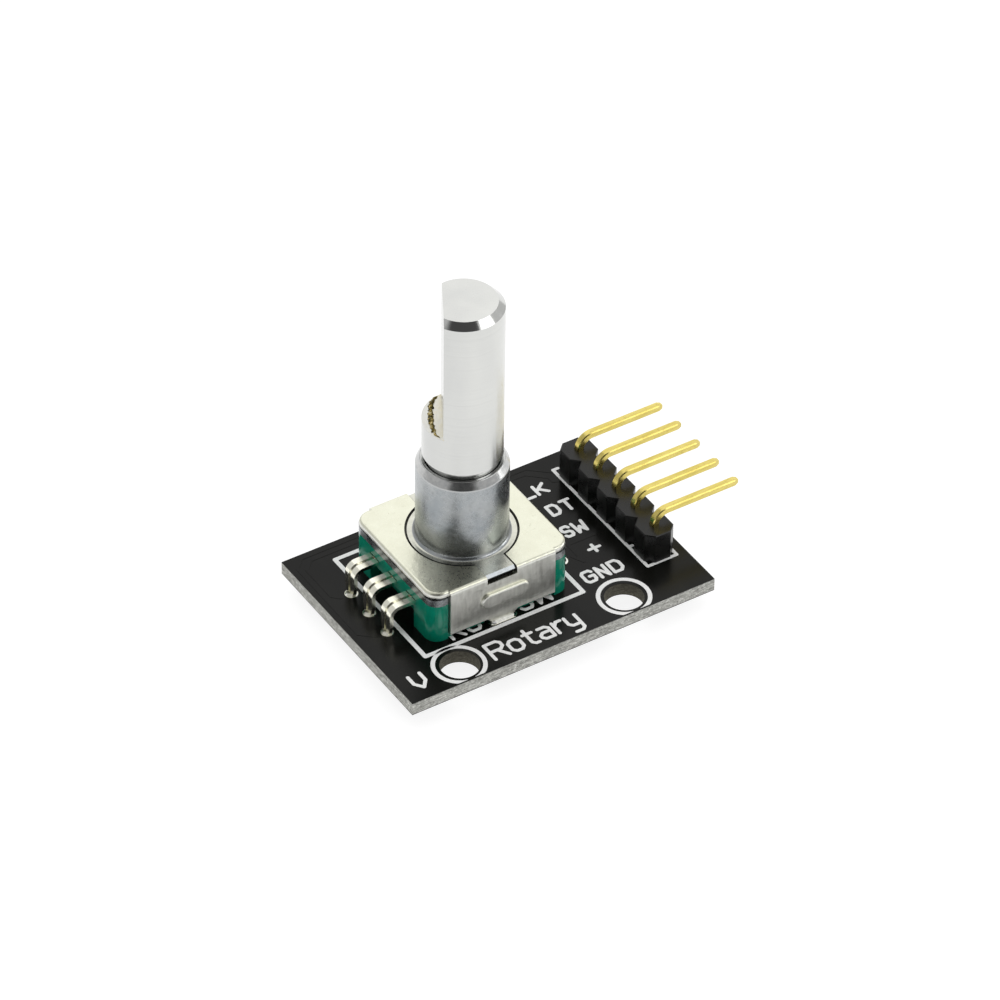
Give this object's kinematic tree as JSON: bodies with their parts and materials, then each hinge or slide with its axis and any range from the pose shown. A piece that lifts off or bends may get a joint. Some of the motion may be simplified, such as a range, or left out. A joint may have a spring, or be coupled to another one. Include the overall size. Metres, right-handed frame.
{
  "type": "rotary encoder",
  "caption": "Rotary encoder with push switch on a small circuit board, with a D-shaft, plain bush, right-angle pin header and board mounting holes.",
  "frame": {"origin": "centre of the bounding box's underside, level with the ends of the soldered header pins", "axes": "+X along the board's long edge, the way the header pins point; +Z along the encoder shaft; +Y towards the long edge without mounting holes"},
  "size_m": [0.0314, 0.0184, 0.0284],
  "materials": {
    "solder_mask": "satin black solder mask on glass-fibre laminate",
    "tin": "tin-plated brass",
    "solder": "bright solder",
    "header_plastic": "black glass-filled plastic",
    "gold_plate": "gold-plated brass",
    "cover_steel": "tin-plated stamped steel",
    "zinc_casting": "bare zinc die casting, satin",
    "green_moulding": "teal-green moulded resin",
    "shaft_aluminium": "turned aluminium with a milled flat",
    "spring_metal": "stainless spring sheet",
    "white_acetal": "natural acetal",
    "black_acetal": "black acetal",
    "brass_sheet": "punched contact sheet",
    "resistor_ceramic": "black glazed chip"
  },
  "bodies": {
    "base": {"pcb_board": "solder_mask", "pcb_pads": "tin", "header_housing": "header_plastic", "header_pin_gnd": "gold_plate", "header_pin_vcc": "gold_plate", "header_pin_sw": "gold_plate", "header_pin_dt": "gold_plate", "header_pin_clk": "gold_plate", "header_solder": "solder", "terminal_a": "tin", "terminal_c": "tin", "terminal_b": "tin", "terminal_d": "tin", "terminal_e": "tin", "terminal_solder": "solder", "encoder_cover": "cover_steel", "lug_solder": "solder", "bush_plate": "zinc_casting", "contact_housing": "green_moulding", "switch_base": "green_moulding", "switch_dome": "spring_metal", "detent_spring": "spring_metal", "resistor_bodies": "resistor_ceramic", "resistor_caps": "solder"},
    "plunger": {"switch_plunger": "white_acetal"},
    "shaft": {"encoder_shaft": "shaft_aluminium", "retaining_ring": "spring_metal"},
    "rotor": {"rotor": "black_acetal", "code_disc": "brass_sheet"}
  },
  "joints": [
    {"name": "shaft_push", "type": "slide", "parent": "base", "child": "plunger", "axis": [0, 0, -1], "range_m": [0, 0.0005], "stiffness_N_per_m": 8000, "deforming": ["switch_dome"]},
    {"name": "shaft_turn", "type": "hinge", "parent": "plunger", "child": "shaft", "pos_m": [-0.00515, 0.00095, 0.01], "axis": [0, 0, 1], "continuous": true},
    {"name": "rotor_turn", "type": "hinge", "parent": "base", "child": "rotor", "pos_m": [-0.00515, 0.00095, 0.0052], "axis": [0, 0, 1], "continuous": true}
  ],
  "couplings": [
    {"joint": "rotor_turn", "follows": "shaft_turn", "ratio": 1}
  ]
}
